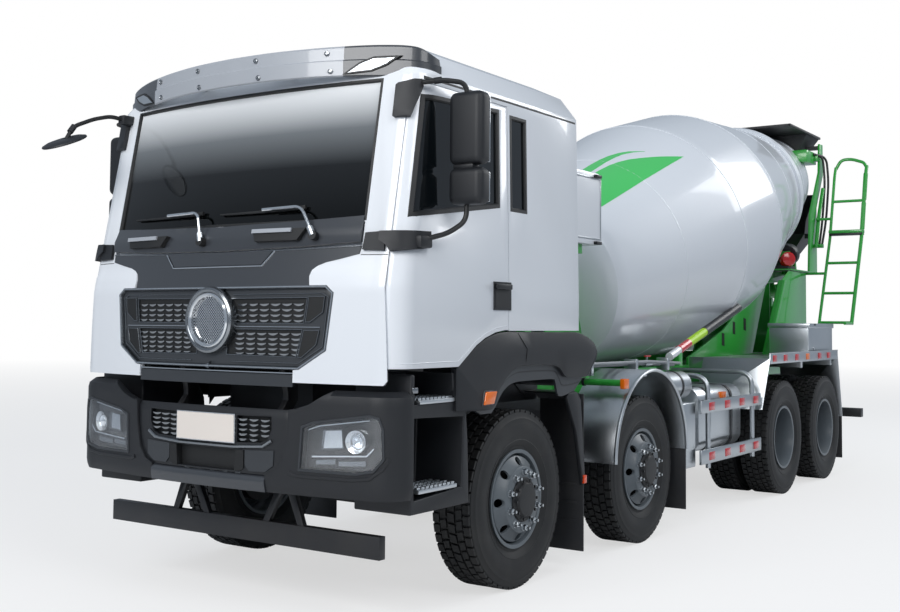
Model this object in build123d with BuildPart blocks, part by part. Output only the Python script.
"""A concrete mixer truck with four axles: tilting cab, turning drum, hopper and chutes.

+X points to the front of the truck, +Y to its left, +Z up. The origin lies on the ground at the
middle of the truck's box. Lengths are in millimetres. ahead(d) is the x of a point d ahead of axle 1.
"""
from math import cos, pi, radians, sin, tan
import os

from build123d import *

os.makedirs("parts", exist_ok=True)

# Axles and wheels
AXLE_1_X = 3300
AXLE_2_BEHIND = 1800
AXLE_3_BEHIND = 4900
AXLE_4_BEHIND = 6250
TYRE_RADIUS = 542.5
TYRE_WIDTH = 300
TREAD_WIDTH = 250
BULGE_RADIUS = 425
BEAD_TOP_RADIUS = 316
WHEEL_SIDES = 30
FRONT_WHEEL_Y = 1030
OUTER_TWIN_Y = 1098
RIM_SEAT_RADIUS = 285.75
RIM_FLANGE_RADIUS = 298.5
RIM_INNER_RADIUS = 268
BEAD_SPAN = 229
FLANGE_WALL = 12
SEAT_GAP = 0.3
DISC_OFFSET = 169
DISC_WALL = 14
DISC_FLAT_RADIUS = 196
HAND_HOLES = 8
HAND_HOLE_RADIUS = 27
HAND_HOLE_CIRCLE = 226
HUB_RADIUS = 110
HUB_CAP_RADIUS = 82
HUB_CAP_OUT = 36
BRAKE_DRUM_RADIUS = 205
BRAKE_DRUM_WIDTH = 160
FRONT_HUB_IN = 75
REAR_HUB_OUT = 150

# Steering and axles
KINGPIN_Y = 850
KINGPIN_RADIUS = 22
PIN_GAP = 0.08
BOSS_RADIUS = 48
BOSS_HEIGHT = 120
EAR_HEIGHT = 38
EAR_GAP = 0.3
WEB_GAP = 5
KNUCKLE_HALF_LENGTH = 50
SPINDLE_RADIUS = 52
SPINDLE_DEPTH = 150
STEERING_ARM = 190
BEAM_HALF_LENGTH = 42
BEAM_HEIGHT = 92
BEAM_DROP = 90
HOUSING_RADIUS = 75
DIFF_RADIUS = 225
DIFF_HALF_LENGTH = 150

# Chassis frame
RAIL_TOP = 1050
RAIL_HEIGHT = 300
RAIL_HALF = 430
RAIL_FLANGE = 90
RAIL_WALL = 8
RAIL_FRONT_AHEAD = 1240
RAIL_REAR_BEHIND = 7930
CROSS_MEMBER_LENGTH = 110
SUB_FRONT_BEHIND = 1150
SUB_HEIGHT = 170
SUB_WIDTH = 80
ENGINE_HALF = 335
ENGINE_BOTTOM = 640
ENGINE_TOP = 1300

# Springs
SPRING_WIDTH = 90
LEAF = 24
FRONT_SPRING_HALF = 760
REAR_SPRING_Y = 492

# Cab
CAB_WALL = 60
CAB_HALF = 1245
CAB_REAR_BEHIND = 630
CAB_FRONT_AHEAD = 1450
CAB_FLOOR_Z = 1560
DOOR_SILL_Z = 1362
CORNER_SAG = 95
CORNER_RADIUS = 145
ROOF_Z = 3180
SKIN = 25
GLASS_INSET = 12
GLASS_WALL = 8
DOOR_GAP = 6
PIVOT_AHEAD = 1300
PIVOT_Z = 1000
PIVOT_RADIUS = 25
PIVOT_EAR = 50
TILT_GAP = 30

# Bumper
BUMPER_AHEAD = 1482
BUMPER_BOTTOM = 680
BUMPER_TOP = 1245
BUMPER_WALL = 60

# Drum
DRUM_BEHIND = 2280
DRUM_Z = 1920
DRUM_TILT = 14.66
DRUM_WALL = 8
HEAD_RADIUS = 724
BELLY_RADIUS = 1138
FRONT_CONE = 1930
BELLY_END = 2950
MOUTH_AT = 5850
MOUTH_RADIUS = 560
RACE_AT = 4810
RACE_WIDTH = 90
RACE_RADIUS = 800
DRIVE_RADIUS = 215
DRIVE_LENGTH = 420
FLANGE_RADIUS = 190
FLANGE_LENGTH = 60
DRIVE_GAP = 0.3

# Mixer frame and chutes
PLATE = 12
SHEET = 5

AXLE_2_X = AXLE_1_X - AXLE_2_BEHIND
AXLE_3_X = AXLE_1_X - AXLE_3_BEHIND
AXLE_4_X = AXLE_1_X - AXLE_4_BEHIND
BOGIE_X = (AXLE_3_X + AXLE_4_X) / 2
HUB_Z = TYRE_RADIUS * cos(pi / WHEEL_SIDES)
RAIL_BOTTOM = RAIL_TOP - RAIL_HEIGHT
SUB_TOP = RAIL_TOP + SUB_HEIGHT
CAB_REAR_X = AXLE_1_X - CAB_REAR_BEHIND
INNER_TWIN_Y = OUTER_TWIN_Y - 2 * DISC_OFFSET
HUB_FACE_Y = OUTER_TWIN_Y - DISC_OFFSET
DRUM_AXIS = Vector(-cos(radians(DRUM_TILT)), 0, sin(radians(DRUM_TILT)))


def ahead(distance):
    """The x of a point that lies this far ahead of axle 1."""
    return AXLE_1_X + distance


DRUM_START = Vector(ahead(-DRUM_BEHIND), 0, DRUM_Z)
DRUM_UP = Vector(sin(radians(DRUM_TILT)), 0, cos(radians(DRUM_TILT)))
CONE_SLOPE = (BELLY_RADIUS - MOUTH_RADIUS) / (MOUTH_AT - BELLY_END)
DRUM_PLANE = Plane(origin=DRUM_START, x_dir=DRUM_AXIS, z_dir=(0, 1, 0))


def block(x, y, z, mode=Mode.ADD):
    """A block between two corners: x, y and z each give (low, high)."""
    with Locations(((x[0] + x[1]) / 2, (y[0] + y[1]) / 2, (z[0] + z[1]) / 2)):
        Box(x[1] - x[0], y[1] - y[0], z[1] - z[0], mode=mode)


def prism(plane, points, depth, mode=Mode.ADD, rounds=0):
    """A closed polygon on a plane, extruded along the plane's normal."""
    with BuildSketch(plane) as profile:
        with BuildLine():
            Polyline(*points, close=True)
        make_face()
        if rounds:
            fillet(profile.vertices(), rounds)
    extrude(profile.sketch, amount=depth, mode=mode)


def side_prism(points, y, mode=Mode.ADD, rounds=0):
    """A polygon of (x, z) points that fills y from low to high."""
    prism(Plane.XZ.offset(-y[0]), points, y[0] - y[1], mode, rounds)


def plan_prism(points, z, mode=Mode.ADD, rounds=0):
    """A polygon of (x, y) points that fills z from low to high."""
    prism(Plane.XY.offset(z[0]), points, z[1] - z[0], mode, rounds)


def front_prism(points, x, mode=Mode.ADD, rounds=0):
    """A polygon of (y, z) points that fills x from low to high."""
    prism(Plane.YZ.offset(x[0]), points, x[1] - x[0], mode, rounds)


def rod(start, end, radius, mode=Mode.ADD):
    """A round bar between two points."""
    axis = Vector(*end) - Vector(*start)
    with BuildSketch(Plane(origin=start, z_dir=axis)) as section:
        Circle(radius)
    extrude(section.sketch, amount=axis.length, mode=mode)


def bent_tube(points, radius):
    """An eight-sided tube along straight runs that meet in mitres."""
    with BuildLine() as path:
        Polyline(*points)
    with BuildSketch(Plane(origin=path.line @ 0, z_dir=path.line % 0)) as section:
        RegularPolygon(radius, 8)
    sweep(section.sketch, path=path.line, transition=Transition.RIGHT)


def bar(start, end, radius):
    """An eight-sided bar between two points."""
    axis = Vector(*end) - Vector(*start)
    with BuildSketch(Plane(origin=start, z_dir=axis)) as section:
        RegularPolygon(radius, 8)
    extrude(section.sketch, amount=axis.length)


def save(part, name):
    """Label a finished piece and write its file."""
    part.label = name
    export_step(part, f"parts/{name}.step")


def faceted(rings, mode=Mode.ADD):
    """A solid with flat sides through rings of points, closed by its first and last ring."""
    faces = [Face(Wire.make_polygon(rings[0])), Face(Wire.make_polygon(rings[-1]))]
    for near, far in zip(rings, rings[1:]):
        for index in range(len(near)):
            faces.append(Face(Wire.make_polygon([near[index - 1], near[index], far[index], far[index - 1]])))
    add(Solid(Shell(faces)), mode=mode)


def wheel_band(x, stations, mode=Mode.ADD):
    """A many-sided solid about the wheel axis at x, through (y, radius) stations."""
    turns = [2 * pi * index / WHEEL_SIDES for index in range(WHEEL_SIDES)]
    faceted([[(x + radius * cos(turn), y, HUB_Z + radius * sin(turn)) for turn in turns]
             for y, radius in stations], mode)


def wheel_disc(x, y, radius, mode=Mode.ADD):
    """A round solid about the wheel axis at x, between two y values."""
    with BuildSketch(Plane(origin=(x, y[0], HUB_Z), x_dir=(1, 0, 0), z_dir=(0, 1, 0))) as section:
        Circle(radius)
    extrude(section.sketch, amount=y[1] - y[0], mode=mode)


def tyre(y):
    """A tyre about the Y axis at hub height, its middle at y."""
    half_bead = BEAD_SPAN / 2 - SEAT_GAP
    half = TYRE_WIDTH / 2
    tread = TREAD_WIDTH / 2
    wheel_band(0, [
        (y - half_bead, BEAD_TOP_RADIUS),
        (y - half, BULGE_RADIUS),
        (y - tread, TYRE_RADIUS),
        (y + tread, TYRE_RADIUS),
        (y + half, BULGE_RADIUS),
        (y + half_bead, BEAD_TOP_RADIUS),
    ])
    seat = RIM_SEAT_RADIUS + SEAT_GAP
    wheel_band(0, [(y - half, seat), (y + half, seat)], Mode.SUBTRACT)


def rim(y, out):
    """A steel wheel: barrel with flanges and a coned disc. out is the way its disc faces."""
    half = BEAD_SPAN / 2
    edge = half + FLANGE_WALL
    wheel_band(0, [(y - half, RIM_SEAT_RADIUS), (y + half, RIM_SEAT_RADIUS)])
    for low, high in ((y - edge, y - half), (y + half, y + edge)):
        wheel_band(0, [(low, RIM_FLANGE_RADIUS), (high, RIM_FLANGE_RADIUS)])
    wheel_band(0, [(y - edge, RIM_INNER_RADIUS), (y + edge, RIM_INNER_RADIUS)], Mode.SUBTRACT)
    face = y + out * DISC_OFFSET
    back = face - out * DISC_WALL
    foot = y + out * half * 0.6
    root = RIM_INNER_RADIUS + DISC_WALL / 2
    wheel_band(0, [(foot - out * DISC_WALL, root), (foot, root), (face, DISC_FLAT_RADIUS)])
    wheel_band(0, [(foot - out * DISC_WALL, root - DISC_WALL), (foot, root - DISC_WALL),
                   (back, DISC_FLAT_RADIUS - DISC_WALL)], Mode.SUBTRACT)


def hand_holes(y):
    """Hand holes through the discs between two y values."""
    plane = Plane(origin=(0, y[0], HUB_Z), x_dir=(1, 0, 0), z_dir=(0, 1, 0))
    with BuildSketch(plane) as section:
        with PolarLocations(HAND_HOLE_CIRCLE, HAND_HOLES):
            RegularPolygon(HAND_HOLE_RADIUS, 8)
    extrude(section.sketch, amount=y[1] - y[0], mode=Mode.SUBTRACT)


def hub(inner, outer):
    """A hub with its brake drum and a blind bore for the spindle."""
    wheel_disc(0, (inner, inner + BRAKE_DRUM_WIDTH), BRAKE_DRUM_RADIUS)
    wheel_disc(0, (inner, outer), HUB_RADIUS)
    wheel_disc(0, (outer, outer + HUB_CAP_OUT), HUB_CAP_RADIUS)
    wheel_disc(0, (inner, inner + SPINDLE_DEPTH), SPINDLE_RADIUS + PIN_GAP, Mode.SUBTRACT)


# The pieces of a single and of a twin wheel, and a knuckle, all for the left side with the axle at x 0
FRONT_HUB_Y = FRONT_WHEEL_Y - FRONT_HUB_IN
REAR_HUB_Y = INNER_TWIN_Y - BRAKE_DRUM_WIDTH / 2
with BuildPart() as single_tyre:
    tyre(FRONT_WHEEL_Y)
with BuildPart() as twin_tyres:
    tyre(OUTER_TWIN_Y)
    tyre(INNER_TWIN_Y)
with BuildPart() as single_rim:
    rim(FRONT_WHEEL_Y, 1)
    hand_holes((FRONT_WHEEL_Y, FRONT_WHEEL_Y + 2 * DISC_OFFSET))
    hub(FRONT_HUB_Y, FRONT_WHEEL_Y + DISC_OFFSET)
with BuildPart() as twin_rims:
    rim(OUTER_TWIN_Y, -1)
    rim(INNER_TWIN_Y, 1)
    hand_holes((INNER_TWIN_Y, OUTER_TWIN_Y))
    hub(REAR_HUB_Y, HUB_FACE_Y + REAR_HUB_OUT)

EAR_IN = BOSS_HEIGHT / 2 + EAR_GAP
EAR_OUT = EAR_IN + EAR_HEIGHT
with BuildPart() as knuckle:
    web_y = KINGPIN_Y + BOSS_RADIUS + WEB_GAP
    ear_y = KINGPIN_Y - BOSS_RADIUS
    seat_y = FRONT_HUB_Y - EAR_GAP
    front_prism([
        (ear_y, HUB_Z - EAR_OUT), (seat_y, HUB_Z - EAR_OUT),
        (seat_y, HUB_Z + EAR_OUT), (ear_y, HUB_Z + EAR_OUT),
        (ear_y, HUB_Z + EAR_IN), (web_y, HUB_Z + EAR_IN),
        (web_y, HUB_Z - EAR_IN), (ear_y, HUB_Z - EAR_IN),
    ], (-KNUCKLE_HALF_LENGTH, KNUCKLE_HALF_LENGTH))
    rod((0, KINGPIN_Y, HUB_Z - EAR_OUT), (0, KINGPIN_Y, HUB_Z + EAR_OUT), KINGPIN_RADIUS)
    wheel_disc(0, (seat_y, FRONT_HUB_Y + SPINDLE_DEPTH - 1), SPINDLE_RADIUS)
    block((-STEERING_ARM, 0), (ear_y + 12, ear_y + 60), (HUB_Z - EAR_OUT, HUB_Z - EAR_IN))

# Columns: number of the axle, its x, its tyres, its rims
WHEELS = [
    (1, AXLE_1_X, single_tyre, single_rim),
    (2, AXLE_2_X, single_tyre, single_rim),
    (3, AXLE_3_X, twin_tyres, twin_rims),
    (4, AXLE_4_X, twin_tyres, twin_rims),
]
for number, axle_x, tyres, rims in WHEELS:
    for side_name, turn in (("left", 0), ("right", 180)):
        with BuildPart() as tyre_part:
            with Locations(Location((axle_x, 0, 0), (0, 0, turn))):
                add(tyres.part)
        save(tyre_part.part, f"tyre_{number}_{side_name}")
        with BuildPart() as rim_part:
            with Locations(Location((axle_x, 0, 0), (0, 0, turn))):
                add(rims.part)
        save(rim_part.part, f"rim_{number}_{side_name}")

for number, axle_x in ((1, AXLE_1_X), (2, AXLE_2_X)):
    for side_name, side in (("left", 1), ("right", -1)):
        with BuildPart() as knuckle_part:
            with Locations((axle_x, 0, 0)):
                add(knuckle.part)
            if side < 0:
                mirror(about=Plane.XZ, mode=Mode.REPLACE)
        save(knuckle_part.part, f"knuckle_{number}_{side_name}")

# Axles: two dropped beams with kingpin bosses, two housings with their differentials
with BuildPart() as axles:
    half_beam = BEAM_HEIGHT / 2
    for axle_x in (AXLE_1_X, AXLE_2_X):
        span = (axle_x - BEAM_HALF_LENGTH, axle_x + BEAM_HALF_LENGTH)
        top_points = [(KINGPIN_Y - 20, half_beam), (690, half_beam), (560, half_beam - BEAM_DROP)]
        low_points = [(520, -half_beam - BEAM_DROP), (670, -half_beam), (KINGPIN_Y - 20, -half_beam)]
        right = [(y, HUB_Z + z) for y, z in top_points]
        left = [(-y, HUB_Z + z) for y, z in reversed(top_points)]
        left_low = [(-y, HUB_Z + z) for y, z in reversed(low_points)]
        right_low = [(y, HUB_Z + z) for y, z in low_points]
        front_prism(right + left + left_low + right_low, span)
        for side in (-1, 1):
            low, high = HUB_Z - BOSS_HEIGHT / 2, HUB_Z + BOSS_HEIGHT / 2
            rod((axle_x, side * KINGPIN_Y, low), (axle_x, side * KINGPIN_Y, high), BOSS_RADIUS)
            rod((axle_x, side * KINGPIN_Y, low), (axle_x, side * KINGPIN_Y, high),
                KINGPIN_RADIUS + PIN_GAP, Mode.SUBTRACT)
    spindle_y = REAR_HUB_Y + SPINDLE_DEPTH - 1
    for axle_x in (AXLE_3_X, AXLE_4_X):
        wheel_disc(axle_x, (-spindle_y, spindle_y), SPINDLE_RADIUS)
        wheel_disc(axle_x, (5 - REAR_HUB_Y, REAR_HUB_Y - 5), HOUSING_RADIUS)
        rod((axle_x - DIFF_HALF_LENGTH, 0, HUB_Z), (axle_x + DIFF_HALF_LENGTH, 0, HUB_Z), DIFF_RADIUS)
        rod((axle_x, 0, HUB_Z + 60), (axle_x + 420, 0, HUB_Z + 60), 80)
    rod((AXLE_4_X, 0, HUB_Z + 60), (AXLE_3_X, 0, HUB_Z + 60), 45)
save(axles.part, "axles")


# Chassis frame: two channel rails, channel cross-members, cab pivot brackets and the cab's rear rest
CROSS_MEMBERS_AHEAD = [1100, 500, -600, -1100, -2900, -4150, -4900, -6250, -7860]
REST_BEHIND = 560
TOW_FRONT_X = ahead(1360)
TOW_REAR_X = ahead(-7975)
TOW_BORE_RADIUS = 20
TOW_EARS = [(870, 895), (955, 980)]
with BuildPart() as chassis_frame:
    inner = RAIL_HALF - RAIL_WALL
    rail_x = (ahead(-RAIL_REAR_BEHIND), ahead(RAIL_FRONT_AHEAD))
    block(rail_x, (inner, RAIL_HALF), (RAIL_BOTTOM, RAIL_TOP))
    block(rail_x, (RAIL_HALF - RAIL_FLANGE, RAIL_HALF), (RAIL_TOP - RAIL_WALL, RAIL_TOP))
    block(rail_x, (RAIL_HALF - RAIL_FLANGE, RAIL_HALF), (RAIL_BOTTOM, RAIL_BOTTOM + RAIL_WALL))
    pivot = (ahead(PIVOT_AHEAD), PIVOT_Z)
    side_prism([
        (ahead(RAIL_FRONT_AHEAD - 260), RAIL_TOP), (ahead(RAIL_FRONT_AHEAD - 260), RAIL_BOTTOM),
        (pivot[0] - PIVOT_EAR, RAIL_BOTTOM), (pivot[0] + PIVOT_EAR, pivot[1] - PIVOT_EAR),
        (pivot[0] + PIVOT_EAR, pivot[1] + PIVOT_EAR), (pivot[0] - PIVOT_EAR, pivot[1] + PIVOT_EAR),
    ], (RAIL_HALF, RAIL_HALF + 30))
    rod((pivot[0], RAIL_HALF - 60, pivot[1]), (pivot[0], RAIL_HALF, pivot[1]), PIVOT_RADIUS)
    rest_x = ahead(-REST_BEHIND)
    block((rest_x - 40, rest_x + 40), (RAIL_HALF - 80, RAIL_HALF), (RAIL_TOP, CAB_FLOOR_Z - 60))
    mirror(about=Plane.XZ)
    block((rest_x - 40, rest_x + 40), (-RAIL_HALF, RAIL_HALF), (CAB_FLOOR_Z - 140, CAB_FLOOR_Z - SEAT_GAP))
    for position in CROSS_MEMBERS_AHEAD:
        x = ahead(position)
        low = RAIL_BOTTOM + RAIL_WALL if position in (500, -600) else RAIL_TOP - 190
        high = ENGINE_BOTTOM + 140 if position in (500, -600) else RAIL_TOP - RAIL_WALL
        block((x - CROSS_MEMBER_LENGTH / 2, x + CROSS_MEMBER_LENGTH / 2), (-inner, inner), (low, high))
    for pin_x, root_x in ((TOW_FRONT_X, ahead(1100) + CROSS_MEMBER_LENGTH / 2),
                          (TOW_REAR_X, ahead(-7860) - CROSS_MEMBER_LENGTH / 2)):
        reach = 40 if pin_x > 0 else -40
        for low, high in TOW_EARS:
            block(sorted((root_x, pin_x + reach)), (-60, 60), (low, high))
        rod((pin_x, 0, TOW_EARS[0][0]), (pin_x, 0, TOW_EARS[-1][1]), TOW_BORE_RADIUS, Mode.SUBTRACT)
save(chassis_frame.part, "chassis_frame")

# Engine and gearbox: one plain block, notched over its two cross-members
with BuildPart() as engine:
    block((ahead(-700), ahead(950)), (-ENGINE_HALF, ENGINE_HALF), (ENGINE_BOTTOM, ENGINE_TOP))
    block((ahead(-1500), ahead(-700)), (-200, 200), (700, 840))
    for position in (500, -600, 1100):
        x = ahead(position)
        block((x - CROSS_MEMBER_LENGTH / 2 - 1, x + CROSS_MEMBER_LENGTH / 2 + 1), (-inner, inner),
              (ENGINE_BOTTOM - 1, ENGINE_BOTTOM + 140 + SEAT_GAP), Mode.SUBTRACT)
save(engine.part, "engine")

# Mixer sub-frame: two box beams on the rails, with cross-bars
SUB_BARS_BEHIND = [1250, 2350, 4400, 5500, 6600, 7880]
with BuildPart() as sub_frame:
    sub_x = (ahead(-RAIL_REAR_BEHIND), ahead(-SUB_FRONT_BEHIND))
    block(sub_x, (RAIL_HALF - SUB_WIDTH, RAIL_HALF), (RAIL_TOP, SUB_TOP))
    mirror(about=Plane.XZ)
    for position in SUB_BARS_BEHIND:
        x = ahead(-position)
        block((x - 40, x + 40), (-RAIL_HALF, RAIL_HALF), (RAIL_TOP + 30, SUB_TOP - 50))
save(sub_frame.part, "sub_frame")


def leaf(x, z_middle, z_end, half_length, y, wall):
    """One bowed leaf of a spring, its underside through the given heights."""
    low, high = y - SPRING_WIDTH / 2, y + SPRING_WIDTH / 2
    with BuildSketch(Plane.XZ.offset(-low)) as profile:
        with BuildLine():
            under = ThreePointArc((x - half_length, z_end), (x, z_middle), (x + half_length, z_end))
            over = ThreePointArc((x - half_length, z_end + wall), (x, z_middle + wall),
                                 (x + half_length, z_end + wall))
            Line(under @ 0, over @ 0)
            Line(under @ 1, over @ 1)
        make_face()
    extrude(profile.sketch, amount=low - high)


# Leaf springs: packs on the steered beams, and one balancing pack a side over the bogie's trunnion
with BuildPart() as leaf_springs:
    spring_y = RAIL_HALF - 45
    pad_top = HUB_Z + BEAM_HEIGHT / 2 - BEAM_DROP
    for axle_x in (AXLE_1_X, AXLE_2_X):
        rise = 80
        for index, share in enumerate((0.45, 0.72, 1.0)):
            half = FRONT_SPRING_HALF * share
            middle = pad_top + 20 + LEAF * index
            leaf(axle_x, middle, middle + rise * share ** 2, half, spring_y, LEAF)
        block((axle_x - 60, axle_x + 60), (spring_y - 55, spring_y + 55), (pad_top, pad_top + 40))
        block((axle_x - 60, axle_x + 60), (spring_y - 55, spring_y + 55),
              (pad_top + 20 + LEAF, pad_top + 45 + 3 * LEAF))
        for end in (-1, 1):
            x = axle_x + end * (FRONT_SPRING_HALF - 20)
            block((x - 40, x + 40), (spring_y - 50, spring_y + 44),
                  (pad_top + 20 + 2 * LEAF + rise * 0.93, RAIL_BOTTOM))
    bogie_half = (AXLE_3_X - AXLE_4_X) / 2 + 60
    end_z = HUB_Z + HOUSING_RADIUS + 20
    for index, share in enumerate((1.0, 0.8, 0.58, 0.36)):
        leaf(BOGIE_X, end_z + 60 + LEAF * index, end_z + 60 - 60 * share ** 2 + LEAF * index,
             bogie_half * share, REAR_SPRING_Y, LEAF)
    for axle_x in (AXLE_3_X, AXLE_4_X):
        block((axle_x - 50, axle_x + 50), (REAR_SPRING_Y - 45, REAR_SPRING_Y + 45),
              (HUB_Z + HOUSING_RADIUS - 3, end_z + 6))
        wheel_disc(axle_x, (REAR_SPRING_Y - 50, REAR_SPRING_Y + 50), HOUSING_RADIUS, Mode.SUBTRACT)
    plate_x = (BOGIE_X - 170, BOGIE_X + 170)
    block(plate_x, (RAIL_HALF, RAIL_HALF + 14), (RAIL_BOTTOM - 330, RAIL_TOP - 40))
    block((BOGIE_X - 110, BOGIE_X + 110), (RAIL_HALF, REAR_SPRING_Y + 45), (end_z - 200, end_z + 62))
    mirror(about=Plane.XZ)
    rod((BOGIE_X, -RAIL_HALF, end_z - 150), (BOGIE_X, RAIL_HALF, end_z - 150), 45)
save(leaf_springs.part, "leaf_springs")


def bumper_form(inset, z):
    """The bumper's solid outline in plan, set in from its face, between two heights."""
    front = ahead(BUMPER_AHEAD) - inset
    half = CAB_HALF - inset
    radius = 180
    with BuildSketch(Plane.XY.offset(z[0])) as plan:
        with BuildLine():
            face = ThreePointArc((front - CORNER_SAG, radius - half), (front, 0),
                                 (front - CORNER_SAG, half - radius))
            left = ThreePointArc(face @ 1, (front - CORNER_SAG - radius * 0.293, half - radius * 0.293),
                                 (front - CORNER_SAG - radius, half))
            right = ThreePointArc(face @ 0, (front - CORNER_SAG - radius * 0.293, radius * 0.293 - half),
                                  (front - CORNER_SAG - radius, -half))
            Polyline(left @ 1, (ahead(1205), half), (ahead(1205), -half), right @ 1)
        make_face()
    extrude(plan.sketch, amount=z[1] - z[0])


# Bumper: a wrapped shell with lamp pockets, a lower grille opening and a tow recess
LAMP_Y = (690, 1130)
LAMP_Z = (800, 1030)
LOWER_GRILLE = (440, 790, 1070)
TOW_RECESS_HALF = 190
PLATE_WIDTH = 440
PLATE_HEIGHT = 140
with BuildPart() as bumper_inside:
    bumper_form(BUMPER_WALL, (BUMPER_BOTTOM - 10, BUMPER_TOP + 10))
with BuildPart() as bumper:
    bumper_form(0, (BUMPER_BOTTOM, BUMPER_TOP))
    add(bumper_inside.part, mode=Mode.SUBTRACT)
    block((ahead(900), ahead(1206)), (-CAB_HALF + BUMPER_WALL, CAB_HALF - BUMPER_WALL),
          (BUMPER_BOTTOM - 10, BUMPER_TOP + 10), Mode.SUBTRACT)
    block((ahead(1200), ahead(1600)), (-595, 595), (1130, BUMPER_TOP + 10), Mode.SUBTRACT)
    block((ahead(1000), ahead(1600)), LAMP_Y, LAMP_Z, Mode.SUBTRACT)
    block((ahead(1000), ahead(1600)), (-LAMP_Y[1], -LAMP_Y[0]), LAMP_Z, Mode.SUBTRACT)
    block((ahead(1300), ahead(1600)), (-LOWER_GRILLE[0], LOWER_GRILLE[0]), LOWER_GRILLE[1:], Mode.SUBTRACT)
    block((ahead(RAIL_FRONT_AHEAD - 100), ahead(BUMPER_AHEAD - BUMPER_WALL - 6)),
          (RAIL_HALF + 30, RAIL_HALF + 90), (RAIL_BOTTOM + 60, RAIL_TOP - 120))
    block((ahead(RAIL_FRONT_AHEAD - 100), ahead(BUMPER_AHEAD - BUMPER_WALL - 6)),
          (-RAIL_HALF - 90, -RAIL_HALF - 30), (RAIL_BOTTOM + 60, RAIL_TOP - 120))
    back, face_x = ahead(BUMPER_AHEAD - BUMPER_WALL), ahead(BUMPER_AHEAD - 30)
    half, low, high = LOWER_GRILLE
    block((back, face_x - 25), (-half - 20, half + 20), (high - 150, high + 15))
    for row in range(4):
        block((face_x - 26, face_x), (-half, half), (high - 132 + row * 38, high - 124 + row * 38))
    for side in (-1, 1):
        near, far = sorted((side * TOW_RECESS_HALF, side * (half + 20)))
        block((back, face_x), (near, far), (low - 15, high - 150))
    block((face_x - 26, ahead(BUMPER_AHEAD)), (-PLATE_WIDTH / 2, PLATE_WIDTH / 2),
          (high - PLATE_HEIGHT, high - 2))
save(bumper.part, "bumper")

# Lamps: headlamps in the bumper's pockets, side markers, tail lamps
with BuildPart() as lamp_inside:
    bumper_form(BUMPER_WALL + 40, (BUMPER_BOTTOM, BUMPER_TOP))
with BuildPart() as lamps:
    bumper_form(6, (LAMP_Z[0] + SEAT_GAP, LAMP_Z[1] - SEAT_GAP))
    add(lamp_inside.part, mode=Mode.SUBTRACT)
    with Locations((ahead(1300), (LAMP_Y[0] + LAMP_Y[1]) / 2, (LAMP_Z[0] + LAMP_Z[1]) / 2),
                   (ahead(1300), -(LAMP_Y[0] + LAMP_Y[1]) / 2, (LAMP_Z[0] + LAMP_Z[1]) / 2)):
        Box(600, LAMP_Y[1] - LAMP_Y[0] - 2 * SEAT_GAP, LAMP_Z[1] - LAMP_Z[0], mode=Mode.INTERSECT)
save(lamps.part, "lamps")

# The cab's outline in plan at five heights. Columns: z, set back of the front, half width
CAB_SECTIONS = [
    (1240, 0, CAB_HALF),
    (1780, 12, CAB_HALF),
    (2950, 226, CAB_HALF - 22),
    (3090, 310, CAB_HALF - 110),
    (ROOF_Z, 520, CAB_HALF - 300),
]


def cab_plan(z, back, half, inset):
    """The cab's outline in plan at one height, set in all round."""
    front = ahead(CAB_FRONT_AHEAD - back) - inset
    half = half - inset
    radius = CORNER_RADIUS
    rear = CAB_REAR_X + inset + max(0, (z - 2950) * 0.4)
    corner = front - CORNER_SAG
    turn = radius * 0.293
    with BuildSketch(Plane.XY.offset(z)) as plan:
        with BuildLine():
            face = ThreePointArc((corner, radius - half), (front, 0), (corner, half - radius))
            left = ThreePointArc(face @ 1, (corner - turn, half - turn), (corner - radius, half))
            right = ThreePointArc(face @ 0, (corner - turn, turn - half), (corner - radius, -half))
            Polyline(left @ 1, (rear, half), (rear, -half), right @ 1)
        make_face()
    return plan.sketch


def cab_form(inset):
    """The cab's solid form, set in from its skin."""
    with BuildPart() as form:
        sections = [cab_plan(z, back, half, inset) for z, back, half in CAB_SECTIONS[:-1]]
        z, back, half = CAB_SECTIONS[-1]
        sections.append(cab_plan(z - inset, back, half, inset))
        loft(sections, ruled=True)
    return form.part


# Lower edge of the doors and of the rear cab, over the wheel arch, as (ahead, z)
SILL_LINE = [(1330, DOOR_SILL_Z), (790, DOOR_SILL_Z), (600, 1405), (440, 1480), (255, CAB_FLOOR_Z)]
DOOR_REAR_AHEAD = 255
DOOR_EDGE = [(1328, DOOR_SILL_Z), (1328, 1780), (1313, 1860), (1228, 2330), (1175, 2620), (1125, 2890)]
DOOR_TOP_Z = 2890
DOOR_WINDOW = [(1205, 2170), (1085, 2820), (358, 2850), (358, 2290)]
QUARTER_WINDOW = [(215, 2280), (215, 2840), (40, 2840), (40, 2280)]
WINDSHIELD = [(-984, 2150), (984, 2150), (978, 2925), (-978, 2925)]
# A pivot ear in side view, from its pin: set back so that it clears the bumper as the cab tilts
EAR_OUTLINE = [(45, 0), (45, 60), (-45, 165), (-45, 200), (0, 382), (-110, 382), (-130, 165), (-45, 60), (-45, 0)]
HINGE_AHEAD = 1340
HINGE_Y = 1178
DOOR_HALF = CAB_HALF - CAB_WALL
DOOR_INNER = DOOR_HALF - 35


def under_cab(lift):
    """Points of the space below the cab's floor, its top lifted by this much."""
    line = [(ahead(x), z + lift) for x, z in SILL_LINE]
    rear = ahead(-CAB_REAR_BEHIND - 100)
    return [(ahead(1700), 1000), (ahead(1700), DOOR_SILL_Z + lift)] + line + [
        (rear, CAB_FLOOR_Z + lift), (rear, 1000)]


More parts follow.
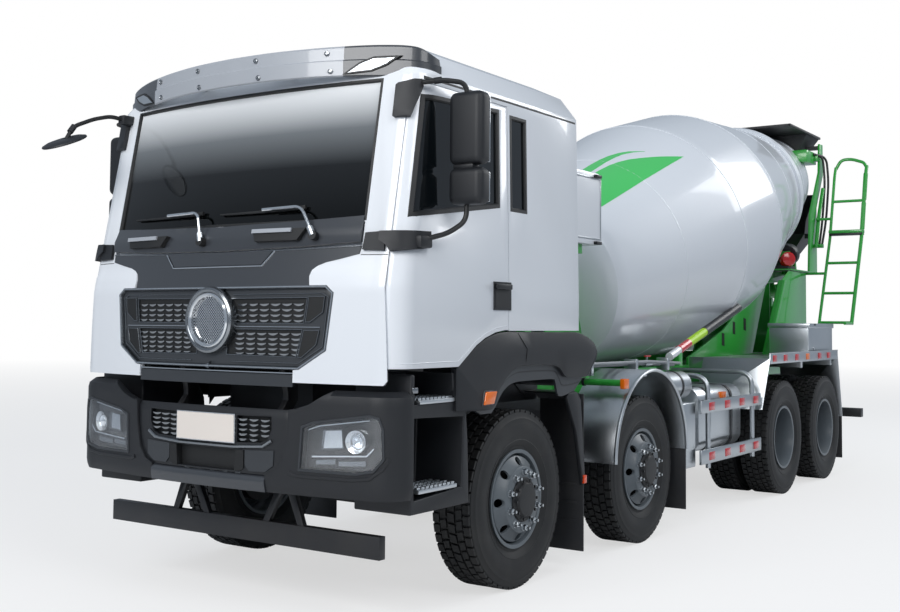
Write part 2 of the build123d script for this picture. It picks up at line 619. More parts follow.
def door_outline(grow):
    """The door's outline in side view, grown all round."""
    front = [(ahead(x) + grow, z) for x, z in DOOR_EDGE]
    front[0] = (front[0][0], DOOR_SILL_Z - grow)
    front[-1] = (front[-1][0], DOOR_TOP_Z + grow)
    rear = ahead(DOOR_REAR_AHEAD) - grow
    sill = [(ahead(x), z - grow) for x, z in SILL_LINE[:0:-1]]
    sill[0] = (rear, CAB_FLOOR_Z - grow)
    return front + [(rear, DOOR_TOP_Z + grow)] + sill


def points_ahead(points):
    """Side-view points given as (ahead, z), in the truck's frame."""
    return [(ahead(x), z) for x, z in points]


def inset_window(points, gap):
    """A four-cornered outline drawn in towards its middle."""
    middle_a = sum(p[0] for p in points) / 4
    middle_b = sum(p[1] for p in points) / 4
    return [(a + (gap if a < middle_a else -gap), b + (gap if b < middle_b else -gap)) for a, b in points]


cab_outside = cab_form(0)
cab_inside = cab_form(CAB_WALL)
skin_back = cab_form(SKIN)
glass_face = cab_form(GLASS_INSET)
glass_back = cab_form(GLASS_INSET + GLASS_WALL)
SIDES = (("left", 1), ("right", -1))
WIDE = CAB_HALF + 100
PANEL_BOTTOM = BUMPER_TOP + TILT_GAP
BAND_LOW = [(-700, 1798), (700, 1798), (985, 2013), (985, 2135), (-985, 2135), (-985, 2013)]
GRILLE_BANDS = (1395, 1585)
SLOTS = 4
SLOT_PITCH = 38
SLOT_HEIGHT = 29
EMBLEM_Z = 1590
EMBLEM_RADIUS = 170
EMBLEM_FRONT = 1478
GRILLE_EDGE = [(-620, 1330), (620, 1330), (850, 1765), (-850, 1765)]

# Cab shell: one wall thick, with its door openings, windows and pivot ears
with BuildPart() as cab_shell:
    add(cab_outside)
    with BuildPart(mode=Mode.PRIVATE) as cab_room:
        add(cab_inside)
        side_prism(under_cab(CAB_WALL), (-WIDE, WIDE), Mode.SUBTRACT)
    add(cab_room.part, mode=Mode.SUBTRACT)
    side_prism(under_cab(0), (-WIDE, WIDE), Mode.SUBTRACT)
    for side in (-1, 1):
        side_prism(door_outline(DOOR_GAP), sorted((side * (DOOR_INNER - DOOR_GAP), side * WIDE)), Mode.SUBTRACT)
        side_prism(points_ahead(QUARTER_WINDOW), sorted((side * (DOOR_HALF - 60), side * WIDE)), Mode.SUBTRACT)
    front_prism(WINDSHIELD, (ahead(700), ahead(1600)), Mode.SUBTRACT)
    block((ahead(-700), ahead(-500)), (-620, 620), (2250, 2800), Mode.SUBTRACT)
    with BuildPart(mode=Mode.PRIVATE) as skin_zone:
        add(cab_outside)
        add(skin_back, mode=Mode.SUBTRACT)
        front_prism([(-WIDE, 1200), (WIDE, 1200), (WIDE, 2014), (985, 2014), (985, 2136),
                     (-985, 2136), (-985, 2014), (-WIDE, 2014)], (ahead(1000), ahead(1600)), Mode.INTERSECT)
    add(skin_zone.part, mode=Mode.SUBTRACT)
    for side in (-1, 1):
        low, high = sorted((side * (RAIL_HALF - 10), side * (RAIL_HALF - 50)))
        side_prism([(ahead(PIVOT_AHEAD + x), PIVOT_Z + z) for x, z in EAR_OUTLINE], (low, high))
        rod((ahead(PIVOT_AHEAD), low, PIVOT_Z), (ahead(PIVOT_AHEAD), high, PIVOT_Z), 45)
        rod((ahead(PIVOT_AHEAD), low, PIVOT_Z), (ahead(PIVOT_AHEAD), high, PIVOT_Z),
            PIVOT_RADIUS + PIN_GAP, Mode.SUBTRACT)
save(cab_shell.part, "cab_shell")

# Front panel: the painted skin round the grille
with BuildPart() as front_panel:
    add(cab_outside)
    add(skin_back, mode=Mode.SUBTRACT)
    front_prism([(-WIDE, PANEL_BOTTOM), (WIDE, PANEL_BOTTOM), (WIDE, 2012), (987, 2012), (702, 1796),
                 (-702, 1796), (-987, 2012), (-WIDE, 2012)], (ahead(1000), ahead(1600)), Mode.INTERSECT)
    front_prism(GRILLE_EDGE, (ahead(1000), ahead(1600)), Mode.SUBTRACT)
    block((ahead(1000), ahead(1600)), (-620, 620), (1200, 1340), Mode.SUBTRACT)
    for side in (-1, 1):
        side_prism(door_outline(DOOR_GAP), sorted((side * (DOOR_INNER - DOOR_GAP), side * WIDE)), Mode.SUBTRACT)
save(front_panel.part, "front_panel")

# Dark trim: the band under the windscreen and the strip under the grille
with BuildPart() as front_trim:
    add(cab_outside)
    add(skin_back, mode=Mode.SUBTRACT)
    with BuildPart(mode=Mode.PRIVATE) as trim_zones:
        front_prism(BAND_LOW, (ahead(1000), ahead(1600)))
        block((ahead(1000), ahead(1600)), (-585, 585), (1250, 1332 - SEAT_GAP))
    add(trim_zones.part, mode=Mode.INTERSECT)
save(front_trim.part, "front_trim")

# Grille: a framed panel in the front panel's opening, in two halves of two rows
with BuildPart() as grille_face:
    add(cab_form(-14))
with BuildPart() as grille:
    add(grille_face.part)
    add(skin_back, mode=Mode.SUBTRACT)
    front_prism(inset_window(GRILLE_EDGE, 2), (ahead(1000), ahead(1600)), Mode.INTERSECT)
    for low in GRILLE_BANDS:
        for row in range(SLOTS):
            slot_z = low + row * SLOT_PITCH
            for side in (-1, 1):
                near, far = sorted((side * 130, side * (640 + (low - GRILLE_BANDS[0]) * 0.5)))
                with BuildPart(mode=Mode.PRIVATE) as recess:
                    add(grille_face.part)
                    add(cab_outside, mode=Mode.SUBTRACT)
                    block((ahead(1000), ahead(1600)), (near, far), (slot_z, slot_z + SLOT_HEIGHT), Mode.INTERSECT)
                add(recess.part, mode=Mode.SUBTRACT)
    rod((ahead(1425), 0, EMBLEM_Z), (ahead(EMBLEM_FRONT), 0, EMBLEM_Z), EMBLEM_RADIUS)
    rod((ahead(EMBLEM_FRONT - 12), 0, EMBLEM_Z), (ahead(EMBLEM_FRONT), 0, EMBLEM_Z), EMBLEM_RADIUS - 25,
        Mode.SUBTRACT)
save(grille.part, "grille")

# Cab glass: windscreen, quarter windows and rear window
with BuildPart() as window_zones:
    front_prism(inset_window(WINDSHIELD, SEAT_GAP), (ahead(700), ahead(1600)))
    for side in (-1, 1):
        side_prism(points_ahead(inset_window(QUARTER_WINDOW, SEAT_GAP)),
                   sorted((side * (DOOR_HALF - 60), side * WIDE)))
    block((ahead(-700), ahead(-500)), (-620 + SEAT_GAP, 620 - SEAT_GAP), (2250 + SEAT_GAP, 2800 - SEAT_GAP))
with BuildPart() as cab_glass:
    add(glass_face)
    add(glass_back, mode=Mode.SUBTRACT)
    add(window_zones.part, mode=Mode.INTERSECT)
save(cab_glass.part, "cab_glass")

for side_name, side in SIDES:
    span = sorted((side * DOOR_INNER, side * WIDE))
    with BuildPart() as door:
        add(cab_outside)
        add(cab_inside, mode=Mode.SUBTRACT)
        with BuildPart(mode=Mode.PRIVATE) as door_zone:
            side_prism(door_outline(0), span)
        add(door_zone.part, mode=Mode.INTERSECT)
        side_prism(points_ahead(DOOR_WINDOW), span, Mode.SUBTRACT)
    save(door.part, f"door_{side_name}")

    with BuildPart() as door_glass:
        add(glass_face)
        add(glass_back, mode=Mode.SUBTRACT)
        with BuildPart(mode=Mode.PRIVATE) as pane_zone:
            side_prism(points_ahead(inset_window(DOOR_WINDOW, SEAT_GAP)), span)
        add(pane_zone.part, mode=Mode.INTERSECT)
    save(door_glass.part, f"door_glass_{side_name}")

    with BuildPart() as mirrors:
        block((ahead(860), ahead(975)), (1290, 1505), (2450, 2850))
        block((ahead(860), ahead(975)), (1290, 1505), (2235, 2435))
        chamfer(mirrors.edges().filter_by(Axis.X), 22)
        chamfer(mirrors.faces().sort_by(Axis.X)[-2:].edges(), 18)
        bent_tube([(ahead(1120), 1224, 2780), (ahead(930), 1395, 2880), (ahead(930), 1395, 2180),
                   (ahead(1170), 1262, 1990)], 15)
        block((ahead(1090), ahead(1250)), (CAB_HALF - 40, CAB_HALF + 45), (1930, 2040))
        add(cab_outside, mode=Mode.SUBTRACT)
        if side < 0:
            mirror(about=Plane.XZ, mode=Mode.REPLACE)
    save(mirrors.part, f"mirror_{side_name}")

# Sun visor: a curved plate ahead of the windscreen's top, on three stays
with BuildPart() as sun_visor:
    with BuildSketch(Plane.XY.offset(2955)) as visor_plan:
        with BuildLine():
            outer = ThreePointArc((ahead(1050), -1190), (ahead(1345), 0), (ahead(1050), 1190))
            inner_arc = ThreePointArc((ahead(1035), -1190), (ahead(1329), 0), (ahead(1035), 1190))
            Line(outer @ 0, inner_arc @ 0)
            Line(outer @ 1, inner_arc @ 1)
        make_face()
    extrude(visor_plan.sketch, amount=175)
    for y in (-1000, -350, 350, 1000):
        reach = 1320 if abs(y) < 500 else 1150
        block((ahead(1080), ahead(reach)), (y - 12, y + 12), (3000, 3050))
    add(cab_outside, mode=Mode.SUBTRACT)
save(sun_visor.part, "sun_visor")

# Cab interior: dashboard with steering wheel, two seats, bunk
with BuildPart() as dashboard:
    side_prism(points_ahead([(1300, 1800), (1300, 2080), (1150, 2120), (960, 2060), (900, 1900), (1000, 1780)]),
               (-1120, 1120))
    add(cab_inside, mode=Mode.INTERSECT)
    rod((ahead(960), 560, 1950), (ahead(786), 560, 2091), 30)
    with Locations(Location((ahead(790), 560, 2088), (0, -50, 0))):
        Box(430, 40, 12)
        Box(40, 430, 12)
    wheel_centre = Vector(ahead(790), 560, 2088)
    wheel_plane = Plane(wheel_centre).rotated((0, -50, 0))
    with BuildSketch(wheel_plane.offset(-12)) as wheel_ring:
        RegularPolygon(238, 20)
        RegularPolygon(212, 20, mode=Mode.SUBTRACT)
    extrude(wheel_ring.sketch, amount=24)
    side_prism(points_ahead([(1200, 1422), (1200, 1800), (1290, 1800), (1290, 1422)]), (-100, 100))
save(dashboard.part, "dashboard")

with BuildPart() as seats:
    for y in (-600, 600):
        block((ahead(0), ahead(480)), (y - 260, y + 260), (1760, 1920))
        side_prism(points_ahead([(20, 1880), (-110, 2560), (-230, 2560), (-100, 1880)]), (y - 250, y + 250))
        side_prism(points_ahead([(-110, 2560), (-140, 2760), (-230, 2760), (-220, 2560)]), (y - 140, y + 140))
        block((ahead(40), ahead(400)), (y - 160, y + 160), (CAB_FLOOR_Z + CAB_WALL + SEAT_GAP, 1760))
save(seats.part, "seats")

# Round look-down mirror on its arm at the right front corner
with BuildPart() as look_down_mirror:
    with Locations(Location((ahead(1622), -1122, 2700), (0, 25, 0))):
        Cylinder(140, 26)
    bent_tube([(ahead(1190), -1080, 2890), (ahead(1400), -1100, 2870), (ahead(1600), -1120, 2720)], 13)
    block((ahead(1120), ahead(1230)), (-1110, -1050), (2860, 2920))
    add(cab_outside, mode=Mode.SUBTRACT)
save(look_down_mirror.part, "look_down_mirror")

# Under-run bars: the front one on V stays, the rear one on two hangers
with BuildPart() as underrun_bars:
    block((ahead(1185), ahead(1235)), (-1056, 1056), (357, 478))
    for side in (-1, 1):
        for foot in (215, 475):
            front_prism([(side * foot, 478), (side * (foot + 45), 478), (side * 415, RAIL_BOTTOM),
                         (side * 355, RAIL_BOTTOM)], (ahead(1195), ahead(1225)))
        low, high = sorted((side * RAIL_HALF, side * (RAIL_HALF + PLATE)))
        block((ahead(-7900), ahead(-7780)), (low, high), (640, 980))
    block((ahead(-7900), ahead(-7800)), (-1200, 1200), (545, 645))
save(underrun_bars.part, "underrun_bars")

# Cab steps: a box with two open treads under each door
STEP_Y = (850, 1212)
with BuildPart() as cab_steps:
    side_prism(points_ahead([(1195, 1330), (1195, 600), (672, 600), (672, 1035), (800, 1330)]), STEP_Y)
    side_prism(points_ahead([(1165, 1136), (1165, 700), (700, 700), (700, 1040), (742, 1136)]),
               (STEP_Y[0] + 50, STEP_Y[1] + 10), Mode.SUBTRACT)
    side_prism(points_ahead([(1165, 1340), (1165, 1172), (760, 1172), (835, 1340)]),
               (STEP_Y[0] + 50, STEP_Y[1] + 10), Mode.SUBTRACT)
    block((ahead(860), ahead(940)), (RAIL_HALF, STEP_Y[0]), (880, 960))
    mirror(about=Plane.XZ)
save(cab_steps.part, "cab_steps")

# Front wheel arches: an outer skirt and a liner over each front wheel
ARCH_INNER = [(600, 1050), (560, 1150), (432, 1225), (322, 1293), (175, 1322), (-290, 1320), (-430, 1225),
              (-560, 1130)]
ARCH_OUTER = [(-745, 1130), (-900, 1290), (-760, 1540), (252, 1550), (434, 1470), (595, 1395), (783, 1353),
              (655, 1050)]
ARCH_Y = (880, 1250)
with BuildPart() as wheel_arches:
    side_prism(points_ahead(ARCH_INNER + ARCH_OUTER), (ARCH_Y[1] - 28, ARCH_Y[1]))
    liner = [(x, z + 12) for x, z in reversed(ARCH_INNER)]
    liner = [(-560, 1142)] + liner[1:-1] + [(612, 1050)]
    side_prism(points_ahead(ARCH_INNER + liner), ARCH_Y)
    side_prism(points_ahead([(-560, 1130), (-560, 1142), (-745, 1142), (-745, 1130)]), ARCH_Y)
    block((ahead(-710), ahead(-660)), (RAIL_HALF, ARCH_Y[1] - 20), (1100, 1131))
    block((ahead(-710), ahead(-660)), (RAIL_HALF, RAIL_HALF + 16), (880, 1110))
    mirror(about=Plane.XZ)
save(wheel_arches.part, "wheel_arches")

# Mudguards: an arc over axle 2 and a flat-topped guard over the bogie
GUARD_Y = (860, 1250)
GUARD_RADIUS = 632
GUARD_CENTRE = (-AXLE_2_BEHIND + 5, 640)
REAR_GUARD_Y = (600, 1250)
REAR_GUARD_TOP = 1300
REAR_GUARD = [(-4190, 840), (-4430, REAR_GUARD_TOP), (-6670, REAR_GUARD_TOP), (-6840, 618)]
with BuildPart() as mudguards:
    with BuildSketch(Plane.XZ.offset(-GUARD_Y[0])) as arc_profile:
        with Locations((ahead(GUARD_CENTRE[0]), GUARD_CENTRE[1])):
            Circle(GUARD_RADIUS)
            Circle(GUARD_RADIUS - SHEET, mode=Mode.SUBTRACT)
            with Locations((0, -GUARD_RADIUS)):
                Rectangle(3 * GUARD_RADIUS, 2 * GUARD_RADIUS, mode=Mode.SUBTRACT)
    extrude(arc_profile.sketch, amount=GUARD_Y[0] - GUARD_Y[1])
    x = ahead(GUARD_CENTRE[0])
    block((x - 25, x + 25), (RAIL_HALF, GUARD_Y[1] - 60), (GUARD_CENTRE[1] + GUARD_RADIUS - 50,
                                                          GUARD_CENTRE[1] + GUARD_RADIUS - 2))
    block((x - 25, x + 25), (RAIL_HALF, RAIL_HALF + 30), (1080, GUARD_CENTRE[1] + GUARD_RADIUS - 2))
    inside = [(-4190 - 6, 840), (-4430 - 3, REAR_GUARD_TOP - SHEET), (-6670 + 4, REAR_GUARD_TOP - SHEET),
              (-6840 + 5, 618)]
    side_prism(points_ahead(REAR_GUARD + inside[::-1]), REAR_GUARD_Y)
    block((ahead(-6670), ahead(-4430)), (REAR_GUARD_Y[1] - 14, REAR_GUARD_Y[1]),
          (REAR_GUARD_TOP - 50, REAR_GUARD_TOP + 50))
    for position in (-4520, -5575, -6620):
        block((ahead(position - 30), ahead(position + 30)), (RAIL_HALF, REAR_GUARD_Y[1] - 60),
              (1185, REAR_GUARD_TOP - SHEET + 1))
    mirror(about=Plane.XZ)
save(mudguards.part, "mudguards")

# Mudflaps behind axle 1, axle 2 and the bogie
FLAP = 12
with BuildPart() as mudflaps:
    guard_rear = GUARD_CENTRE[0] - GUARD_RADIUS - SEAT_GAP
    block((ahead(-745 - SEAT_GAP - FLAP), ahead(-745 - SEAT_GAP)), (890, ARCH_Y[1] - 30), (110, 1141))
    block((ahead(guard_rear - FLAP), ahead(guard_rear)), (GUARD_Y[0], 1240), (170, GUARD_CENTRE[1] + 60))
    block((ahead(-6840 - SEAT_GAP - FLAP), ahead(-6840 - SEAT_GAP)), (REAR_GUARD_Y[0], 1240), (165, 630))
    mirror(about=Plane.XZ)
save(mudflaps.part, "mudflaps")

# Side guards: two rails on bent posts, hung from the sub-frame
with BuildPart() as side_guards:
    for low, high in ((889, 995), (480, 596)):
        block((ahead(-4165), ahead(-2740)), (1226, 1250), (low, high))
    for position in (-2990, -4050):
        block((ahead(position - 20), ahead(position + 20)), (1186, 1226), (430, 1205))
        block((ahead(position - 20), ahead(position + 20)), (RAIL_HALF, 1226), (1165, 1205))
    mirror(about=Plane.XZ)
save(side_guards.part, "side_guards")

# Tanks: the fuel tank on the left, two air tanks on the right
with BuildPart() as tanks:
    with BuildPart(mode=Mode.PRIVATE) as tank_body:
        block((ahead(-4000), ahead(-3010)), (505, 1115), (540, 1080))
        fillet(tank_body.edges().filter_by(Axis.X), 110)
    add(tank_body.part)
    for position in (-3200, -3820):
        block((ahead(position - 35), ahead(position + 35)), (RAIL_HALF, 540), (680, 960))
    for z in (660, 930):
        rod((ahead(-3400), -600, z), (ahead(-2560), -600, z), 122)
    for position in (-2750, -3200):
        block((ahead(position - 25), ahead(position + 25)), (-620, -580), (660, 930))
        block((ahead(position - 25), ahead(position + 25)), (-520, -RAIL_HALF), (900, 960))
save(tanks.part, "tanks")

# Sheet steel boxes: one ahead of the left side guard, one on the left mudguard, the battery box on the right
with BuildPart() as steel_boxes:
    block((ahead(-2738), ahead(-2470)), (750, 1200), (466, 984))
    block((ahead(-2640), ahead(-2570)), (RAIL_HALF, 750), (800, 900))
    block((ahead(-6650), ahead(-5800)), (780, 1200), (REAR_GUARD_TOP, 1630))
    block((ahead(-4100), ahead(-3520)), (-1110, -560), (560, 1060))
    block((ahead(-3860), ahead(-3760)), (-560, -RAIL_HALF), (780, 900))
save(steel_boxes.part, "steel_boxes")

# Water tank across the truck, behind the cab
TANK_X = (ahead(-1650), ahead(-1090))
TANK_Z = (2190, 2730)
with BuildPart() as water_tank:
    block(TANK_X, (-900, 900), TANK_Z)
    fillet(water_tank.edges().filter_by(Axis.Y), 60)
save(water_tank.part, "water_tank")

# Front support: stand and drive gearbox of the drum, with the water tank's rest
with BuildPart() as front_support:
    for low, high in ((RAIL_HALF - SUB_WIDTH, RAIL_HALF), (-RAIL_HALF, SUB_WIDTH - RAIL_HALF)):
        block((ahead(-1420), ahead(-1330)), (low, high), (SUB_TOP, TANK_Z[0]))
    block((ahead(-1420), ahead(-1330)), (-860, 860), (TANK_Z[0] - 70, TANK_Z[0]))
    for low, high in ((350, 366), (-366, -350)):
        side_prism(points_ahead([(-1560, SUB_TOP), (-2440, SUB_TOP), (-2290, 1790), (-2230, 1960), (-1960, 2030),
                                 (-1900, 1800)]), (low, high))
    gear_start = DRUM_START - DRUM_AXIS * (FLANGE_LENGTH + DRIVE_GAP + DRIVE_LENGTH)
    gear_end = DRUM_START - DRUM_AXIS * (FLANGE_LENGTH + DRIVE_GAP)
    rod(gear_start, gear_end, DRIVE_RADIUS)
    seat = gear_start + DRUM_AXIS * (DRIVE_LENGTH / 2)
    with BuildSketch(Plane(origin=seat, x_dir=(0, 1, 0), z_dir=DRUM_AXIS)) as seat_profile:
        Rectangle(2 * 360, 2 * DRIVE_RADIUS + 40)
    extrude(seat_profile.sketch, amount=24)
save(front_support.part, "front_support")

# Drum: one thin wall from the drive flange over head, cones and belly to the open mouth, with its raceway
RACE_FROM = RACE_AT - RACE_WIDTH / 2
RACE_TO = RACE_AT + RACE_WIDTH / 2
with BuildPart() as drum:
    with BuildSketch(DRUM_PLANE) as drum_profile:
        with BuildLine():
            Polyline(
                (-FLANGE_LENGTH, 0), (-FLANGE_LENGTH, FLANGE_RADIUS), (0, FLANGE_RADIUS), (0, HEAD_RADIUS),
                (FRONT_CONE, BELLY_RADIUS), (BELLY_END, BELLY_RADIUS),
                (RACE_FROM, BELLY_RADIUS - CONE_SLOPE * (RACE_FROM - BELLY_END)),
                (RACE_FROM, RACE_RADIUS), (RACE_TO, RACE_RADIUS),
                (RACE_TO, BELLY_RADIUS - CONE_SLOPE * (RACE_TO - BELLY_END)),
                (MOUTH_AT, MOUTH_RADIUS), (MOUTH_AT, MOUTH_RADIUS - DRUM_WALL),
                (BELLY_END, BELLY_RADIUS - DRUM_WALL), (FRONT_CONE, BELLY_RADIUS - DRUM_WALL),
                (DRUM_WALL + 4, HEAD_RADIUS - DRUM_WALL), (DRUM_WALL + 4, 0), close=True)
        make_face()
    revolve(drum_profile.sketch, axis=Axis(DRUM_START, DRUM_AXIS))
save(drum.part, "drum")

# Support rollers under the raceway, and the pedestal that carries them
ROLLER_RADIUS = 125
ROLLER_WIDTH = 110
ROLLER_ANGLE = 38
ROLLER_SHAFT = 35
ROLLER_GAP = 0.3
ROLLER_REACH = RACE_RADIUS + ROLLER_GAP + ROLLER_RADIUS


def roller_centre(side, along):
    """A point on a roller's axis, at a distance along the drum's axis from the raceway's middle."""
    across = Vector(0, side * ROLLER_REACH * sin(radians(ROLLER_ANGLE)), 0)
    return (DRUM_START + DRUM_AXIS * (RACE_AT + along) + across
            - DRUM_UP * (ROLLER_REACH * cos(radians(ROLLER_ANGLE))))


for side_name, side in SIDES:
    with BuildPart() as roller:
        rod(roller_centre(side, -ROLLER_WIDTH / 2), roller_centre(side, ROLLER_WIDTH / 2), ROLLER_RADIUS)
        rod(roller_centre(side, -115), roller_centre(side, 115), ROLLER_SHAFT)
    save(roller.part, f"drum_roller_{side_name}")

DECK_Z = 2260
PLATE_Y = 450
PEDESTAL_REAR = -7950
UPRIGHT_Y = 640
with BuildPart() as rear_pedestal:
    side_prism(points_ahead([(-4460, SUB_TOP), (-4460, 1290), (-5420, 1560), (-6700, DECK_Z - 110),
                             (-6880, DECK_Z), (PEDESTAL_REAR, DECK_Z), (PEDESTAL_REAR, SUB_TOP)]), (PLATE_Y - 40, PLATE_Y - 20))
    side_prism(points_ahead([(-6300, SUB_TOP + 90), (-6760, 2090), (-7230, 2120), (-6700, SUB_TOP + 90)]),
               (PLATE_Y - 50, PLATE_Y), Mode.SUBTRACT)
    side_prism(points_ahead([(-7000, SUB_TOP + 90), (-7400, 2120), (-7830, 2120), (-7830, SUB_TOP + 90)]),
               (PLATE_Y - 50, PLATE_Y), Mode.SUBTRACT)
    side_prism(points_ahead([(-7640, DECK_Z), (PEDESTAL_REAR, DECK_Z), (PEDESTAL_REAR, 3050), (-8230, 3480),
                             (-8230, 3860), (-8110, 3860), (-8080, 3500), (-7700, 2950)]),
               (UPRIGHT_Y, UPRIGHT_Y + 25))
    for along in (-110, 70):
        start = roller_centre(1, along)
        with BuildSketch(Plane(origin=start, x_dir=(0, 1, 0), z_dir=DRUM_AXIS)) as bearing:
            with Locations((0, 70)):
                Rectangle(110, 260)
            Circle(ROLLER_SHAFT + PIN_GAP, mode=Mode.SUBTRACT)
        extrude(bearing.sketch, amount=40)
    mirror(about=Plane.XZ)
    block((ahead(PEDESTAL_REAR), ahead(-6880)), (-UPRIGHT_Y - 40, UPRIGHT_Y + 40), (DECK_Z - 14, DECK_Z))
    block((ahead(PEDESTAL_REAR), ahead(PEDESTAL_REAR + 14)), (-PLATE_Y + 20, PLATE_Y - 20), (SUB_TOP, 1850))
    block((ahead(-6894), ahead(-6880)), (-PLATE_Y + 20, PLATE_Y - 20), (SUB_TOP, DECK_Z - 14))
    block((ahead(-8200), ahead(PEDESTAL_REAR)), (-120, 120), (1500, 1530))
    block((ahead(-8160 - 30), ahead(PEDESTAL_REAR)), (-12, 12), (1350, 1500))
    rod((ahead(-8160), 0, 1530), (ahead(-8160), 0, 1850), 30)
save(rear_pedestal.part, "rear_pedestal")

# Hopper over the mouth and the collector funnel behind it
HOPPER_TOP_Z = 3980
HOPPER_TOP = (-8360, -7850, 600)
HOPPER_NECK = (-8230, -8000, 250)
HOPPER_NECK_Z = 3480
COLLECTOR_TOP = (-8350, -7935, 520)
COLLECTOR_TOP_Z = 2740
COLLECTOR_NECK = (-8255, -8065, 190)
COLLECTOR_NECK_Z = 2300
WALL = 6


def funnel(top, top_z, neck, neck_z, inset, mode=Mode.ADD):
    """A four-sided funnel between two rectangles, each given as (x low, x high, half width)."""
    rings = []
    for (low, high, half), z in ((neck, neck_z), (top, top_z)):
        rear, front, side = ahead(low) + inset, ahead(high) - inset, half - inset
        rings.append([(rear, -side, z), (front, -side, z), (front, side, z), (rear, side, z)])
    faceted(rings, mode)


with BuildPart() as hopper:
    funnel(HOPPER_TOP, HOPPER_TOP_Z, HOPPER_NECK, HOPPER_NECK_Z, 0)
    funnel(HOPPER_TOP, HOPPER_TOP_Z + 1, HOPPER_NECK, HOPPER_NECK_Z - 1, WALL, Mode.SUBTRACT)
    side_prism(points_ahead([(-8230, HOPPER_NECK_Z), (-8000, HOPPER_NECK_Z), (-7800, 3330), (-7800, 3180),
                             (-8230, 3300)]), (-250, 250))
    side_prism(points_ahead([(-8224, HOPPER_NECK_Z + 1), (-8006, HOPPER_NECK_Z + 1), (-7790, 3324), (-7790, 3189),
                             (-8224, 3309)]), (-250 + WALL, 250 - WALL), Mode.SUBTRACT)
    for side in (-1, 1):
        low, high = sorted((side * 480, side * (UPRIGHT_Y - SEAT_GAP)))
        block((ahead(-8220), ahead(-8120)), (low, high), (3800, 3840))
    funnel(HOPPER_TOP, HOPPER_TOP_Z + 1, HOPPER_NECK, HOPPER_NECK_Z - 1, WALL, Mode.SUBTRACT)
    funnel(COLLECTOR_TOP, COLLECTOR_TOP_Z, COLLECTOR_NECK, COLLECTOR_NECK_Z, 0)
    funnel(COLLECTOR_TOP, COLLECTOR_TOP_Z + 1, COLLECTOR_NECK, COLLECTOR_NECK_Z - 1, WALL, Mode.SUBTRACT)
    block((ahead(-8350), ahead(-8344)), (-520, 520), (COLLECTOR_TOP_Z - 4, 3260))
    for side in (-1, 1):
        low, high = sorted((side * 514, side * 520))
        side_prism(points_ahead([(-8350, COLLECTOR_TOP_Z - 4), (-7935, COLLECTOR_TOP_Z - 4), (-7990, 2900),
                                 (-8200, 3100), (-8350, 3260)]), (low, high))
        low, high = sorted((side * 519, side * (UPRIGHT_Y - SEAT_GAP)))
        block((ahead(-7950), ahead(-7936)), (low, high), (COLLECTOR_TOP_Z - 60, COLLECTOR_TOP_Z))
save(hopper.part, "hopper")

# Swing chute: a trough on a sleeve round the pedestal's pin, pointing to the right and sloping down
CHUTE_PIN_AHEAD = -8160
CHUTE_SLOPE = 12
TROUGH_RADIUS = 180
TROUGH_WALL = 6
TROUGH_BACK = 120
TROUGH_LENGTH = 1265
TROUGH_Z = 2160
CHUTE_DIR = Vector(0, -cos(radians(CHUTE_SLOPE)), -sin(radians(CHUTE_SLOPE)))
CHUTE_UP = Vector(0, -sin(radians(CHUTE_SLOPE)), cos(radians(CHUTE_SLOPE)))
CHUTE_START = Vector(ahead(CHUTE_PIN_AHEAD), TROUGH_BACK, TROUGH_Z)
HINGE_REACH = 12
FOLD_HINGE = CHUTE_START + CHUTE_DIR * (TROUGH_LENGTH + HINGE_REACH) + CHUTE_UP * HINGE_REACH
FOLD_LENGTH = 850
FOLD_RADIUS = 158


def trough(start, direction, up, length, radius):
    """A half-round trough of an inner radius along a direction, open towards up."""
    plane = Plane(origin=start, x_dir=direction.cross(up), z_dir=direction)
    with BuildSketch(plane) as section:
        Circle(radius + TROUGH_WALL)
        Circle(radius, mode=Mode.SUBTRACT)
        flip = 1 if plane.y_dir.dot(up) > 0 else -1
        with Locations((0, flip * radius)):
            Rectangle(3 * radius, 2 * radius, mode=Mode.SUBTRACT)
    extrude(section.sketch, amount=length)


with BuildPart() as swing_chute:
    trough(CHUTE_START, CHUTE_DIR, CHUTE_UP, TROUGH_LENGTH, TROUGH_RADIUS)
    pin_x = ahead(CHUTE_PIN_AHEAD)
    block((pin_x - 40, pin_x + 40), (-40, 40), (1840, 1952))
    rod((pin_x, 0, 1530 + SEAT_GAP), (pin_x, 0, 1880), 48)
    rod((pin_x, 0, 1500), (pin_x, 0, 1850 + SEAT_GAP), 30 + PIN_GAP, Mode.SUBTRACT)
    for side in (-1, 1):
        low, high = sorted((side * (TROUGH_RADIUS + 4), side * (TROUGH_RADIUS + 16)))
        tip = FOLD_HINGE
        back = tip - CHUTE_DIR * 90 - CHUTE_UP * 60
        with BuildSketch(Plane.YZ.offset(pin_x + low)) as ear:
            with BuildLine():
                Polyline((tip.Y, tip.Z + 20), (tip.Y - 20, tip.Z - 10), (back.Y - 30, back.Z - 40),
                         (back.Y + 60, back.Z + 20), close=True)
            make_face()
        extrude(ear.sketch, amount=high - low)
    rod((pin_x - TROUGH_RADIUS - 16, FOLD_HINGE.Y, FOLD_HINGE.Z),
        (pin_x + TROUGH_RADIUS + 16, FOLD_HINGE.Y, FOLD_HINGE.Z), 10)
save(swing_chute.part, "swing_chute")

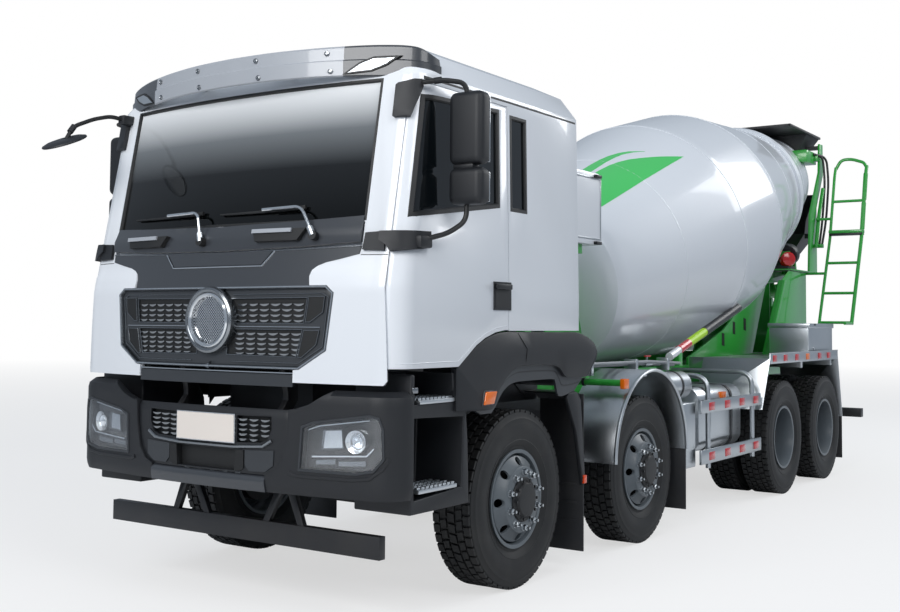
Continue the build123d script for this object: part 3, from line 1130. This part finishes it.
# Fold chute: the end trough, stowed upside down on the swing chute
with BuildPart() as fold_chute:
    start = FOLD_HINGE - CHUTE_DIR * (HINGE_REACH + 2) + CHUTE_UP * HINGE_REACH
    trough(start, CHUTE_DIR * -1, CHUTE_UP * -1, FOLD_LENGTH, FOLD_RADIUS)
    for side in (-1, 1):
        low, high = sorted((side * (FOLD_RADIUS - 8), side * (FOLD_RADIUS + TROUGH_WALL)))
        rod((pin_x + low, FOLD_HINGE.Y, FOLD_HINGE.Z), (pin_x + high, FOLD_HINGE.Y, FOLD_HINGE.Z), 24)
        root = FOLD_HINGE - CHUTE_DIR * 90 + CHUTE_UP * 40
        with BuildSketch(Plane.YZ.offset(pin_x + low)) as fold_ear:
            with BuildLine():
                Polyline((FOLD_HINGE.Y - 4, FOLD_HINGE.Z + 22), (FOLD_HINGE.Y + 10, FOLD_HINGE.Z - 10),
                         (root.Y + 10, root.Z - 26), (root.Y, root.Z + 34), close=True)
            make_face()
        extrude(fold_ear.sketch, amount=high - low)
        rod((pin_x - 300, FOLD_HINGE.Y, FOLD_HINGE.Z), (pin_x + 300, FOLD_HINGE.Y, FOLD_HINGE.Z),
            10 + PIN_GAP, Mode.SUBTRACT)
save(fold_chute.part, "fold_chute")

# Ladder at the left rear, hung from the pedestal
LADDER_Y = (870, 1235)
LADDER_LINE = [(-7310, 1650), (-7780, 2660), (-8000, 3430), (-8120, 3640)]
RUNGS = 7
with BuildPart() as ladder:
    near = [(ahead(x), LADDER_Y[0], z) for x, z in LADDER_LINE]
    far = [(ahead(x), LADDER_Y[1], z) for x, z in LADDER_LINE]
    bent_tube(near + far[::-1], 18)
    for index in range(RUNGS):
        z = 1740 + index * 280
        for (x_a, z_a), (x_b, z_b) in zip(LADDER_LINE, LADDER_LINE[1:]):
            if z_a <= z <= z_b:
                x = ahead(x_a + (x_b - x_a) * (z - z_a) / (z_b - z_a))
        bar((x, LADDER_Y[0], z), (x, LADDER_Y[1], z), 14)
    bar((ahead(-7580), PLATE_Y - 20, 2230), (ahead(-7580), LADDER_Y[0], 2230), 16)
    bar((ahead(-7860), UPRIGHT_Y + 25, 2900), (ahead(-7860), LADDER_Y[0], 2900), 16)
save(ladder.part, "ladder")
